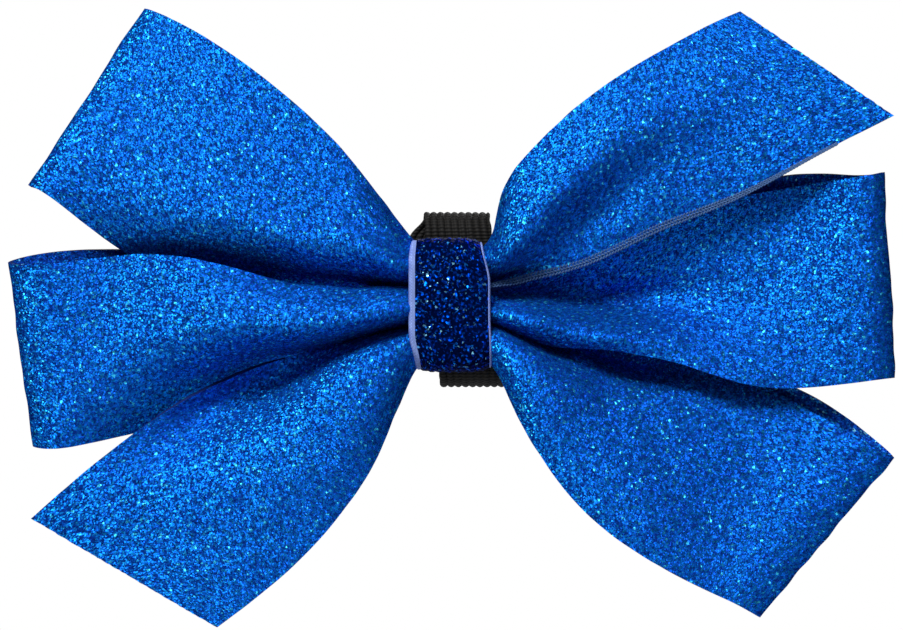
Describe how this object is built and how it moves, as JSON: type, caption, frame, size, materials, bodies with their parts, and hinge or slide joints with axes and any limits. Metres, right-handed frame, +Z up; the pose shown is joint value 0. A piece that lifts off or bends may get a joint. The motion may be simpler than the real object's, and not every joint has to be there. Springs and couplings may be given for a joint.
{
  "type": "cheer hair bow",
  "caption": "Hair bow of glitter velvet ribbon: loops and slant-cut tails gathered under a narrow ribbon knot, with a flat elastic loop behind the knot.",
  "frame": {"origin": "where the knot's axis meets the rear face of the elastic's sewn run, which lies against the ponytail", "axes": "+X to the right seen from the front, along the bow; the front faces -Y; +Z up"},
  "size_m": [0.1578, 0.0245, 0.1098],
  "materials": {
    "glitter_ribbon": "satin",
    "knot_ribbon": "satin",
    "elastic": "matte",
    "black_thread": "satin",
    "blue_thread": "satin",
    "glue": "satin"
  },
  "bodies": {
    "bow": {"loop_middle_left": "glitter_ribbon", "loop_middle_right": "glitter_ribbon", "gathered_waist": "glitter_ribbon", "gathering_thread": "blue_thread", "thread_knot": "blue_thread", "knot_wrap": "knot_ribbon", "knot_wrap_glue": "glue", "knot_wrap_lapped_end": "knot_ribbon", "elastic_lapped_end": "elastic", "elastic_sewn_run": "elastic", "elastic_join_stitches": "black_thread", "elastic_tack_stitches": "black_thread", "elastic_top_turn": "elastic", "elastic_bottom_turn": "elastic"},
    "upper_left_petal": {"loop_upper_left": "glitter_ribbon"},
    "lower_left_petal": {"tail_lower_left": "glitter_ribbon"},
    "upper_right_petal": {"tail_upper_right": "glitter_ribbon"},
    "lower_right_petal": {"loop_lower_right": "glitter_ribbon"},
    "elastic_back": {"elastic_free_run": "elastic"}
  },
  "joints": [
    {"name": "upper_left_loop_flex", "type": "hinge", "parent": "bow", "child": "upper_left_petal", "pos_m": [-0.007, -0.0093, 0], "axis": [0, 0, -1], "range_deg": [0, 30], "stiffness_Nm_per_rad": 0.012},
    {"name": "lower_left_tail_flex", "type": "hinge", "parent": "bow", "child": "lower_left_petal", "pos_m": [-0.007, -0.0093, 0], "axis": [0, 0, 1], "range_deg": [0, 30], "stiffness_Nm_per_rad": 0.012},
    {"name": "upper_right_tail_flex", "type": "hinge", "parent": "bow", "child": "upper_right_petal", "pos_m": [0.007, -0.0093, 0], "axis": [0, 0, -1], "range_deg": [0, 30], "stiffness_Nm_per_rad": 0.012},
    {"name": "lower_right_loop_flex", "type": "hinge", "parent": "bow", "child": "lower_right_petal", "pos_m": [0.007, -0.0093, 0], "axis": [0, 0, 1], "range_deg": [0, 30], "stiffness_Nm_per_rad": 0.012},
    {"name": "elastic_stretch", "type": "slide", "parent": "bow", "child": "elastic_back", "axis": [0, 1, 0], "range_m": [0, 0.018], "stiffness_N_per_m": 20, "deforming": ["elastic_top_turn", "elastic_bottom_turn"]}
  ]
}
